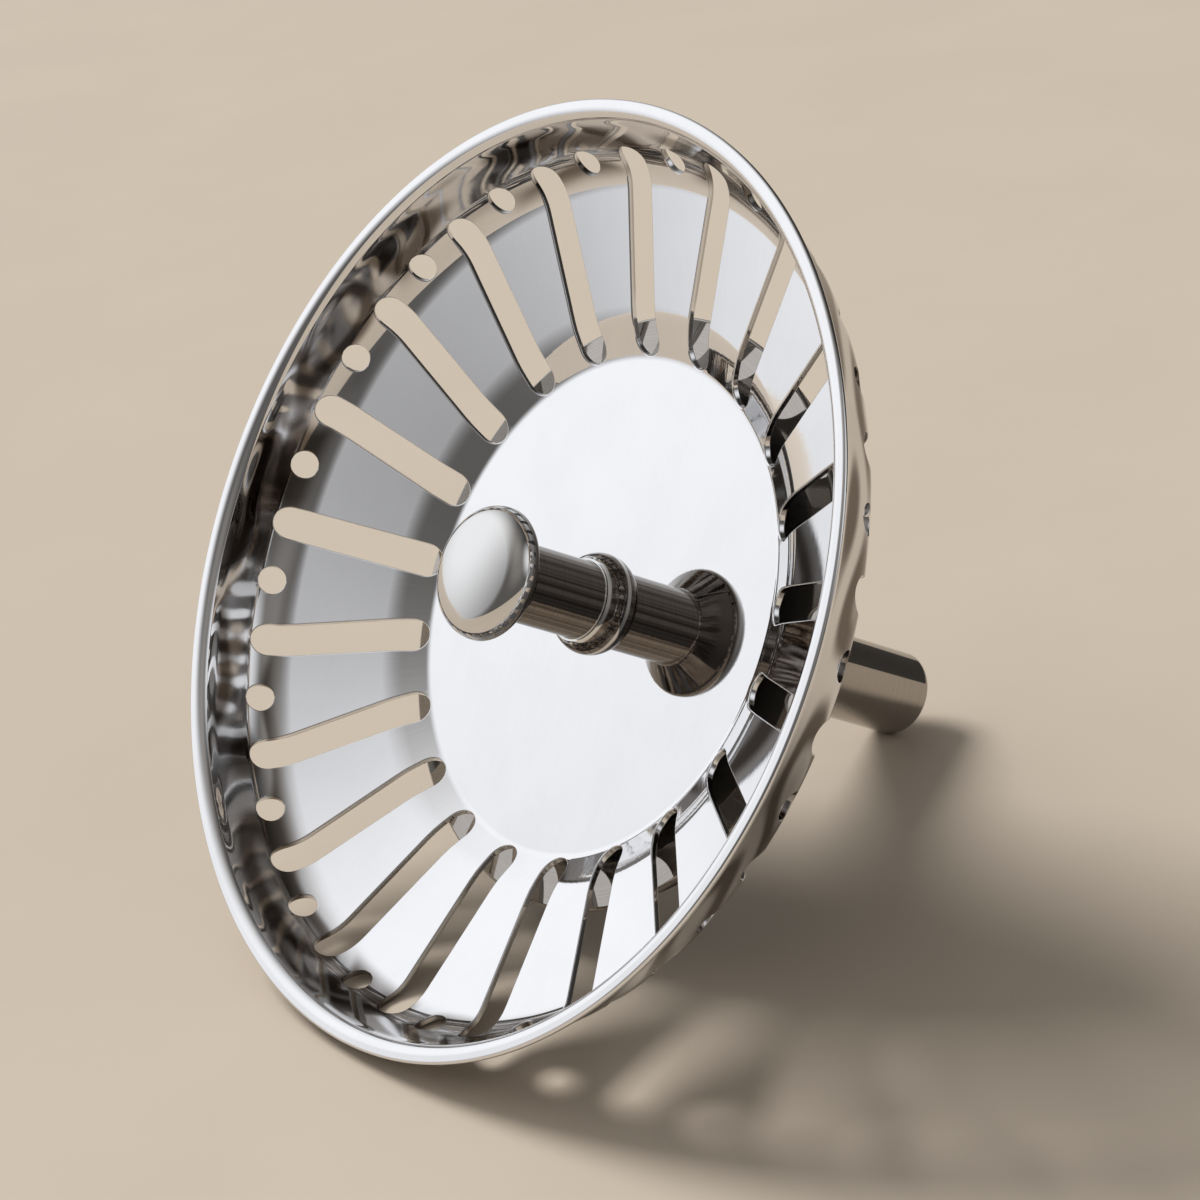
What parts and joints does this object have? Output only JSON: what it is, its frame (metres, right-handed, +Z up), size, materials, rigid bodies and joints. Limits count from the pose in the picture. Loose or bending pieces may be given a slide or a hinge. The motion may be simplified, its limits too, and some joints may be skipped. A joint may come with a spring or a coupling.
{
  "type": "sink basket strainer plug",
  "caption": "Polished steel lift-out basket strainer plug for a kitchen sink waste, with a domed knob, radial slots, a rubber seal and a plain stem, lying on its side",
  "frame": {"origin": "middle of the bounding box on the surface that the plug lies on", "axes": "+Z up, +X across the basket along its full diameter, -Y towards the side that the open bowl and the knob face"},
  "size_m": [0.084, 0.0698, 0.0684],
  "materials": {
    "polished_basket": "mirror polished",
    "polished_turned": "dark polished, bright on the knob's dome",
    "plain_turned": "polished",
    "seal_rubber": "matte"
  },
  "bodies": {
    "root": {"strainer_basket": "polished_basket", "handle": "polished_turned", "packing_washer": "polished_turned", "seal_plate": "plain_turned", "rubber_seal": "seal_rubber", "retaining_washer": "polished_turned", "stem": "plain_turned"}
  },
  "joints": []
}
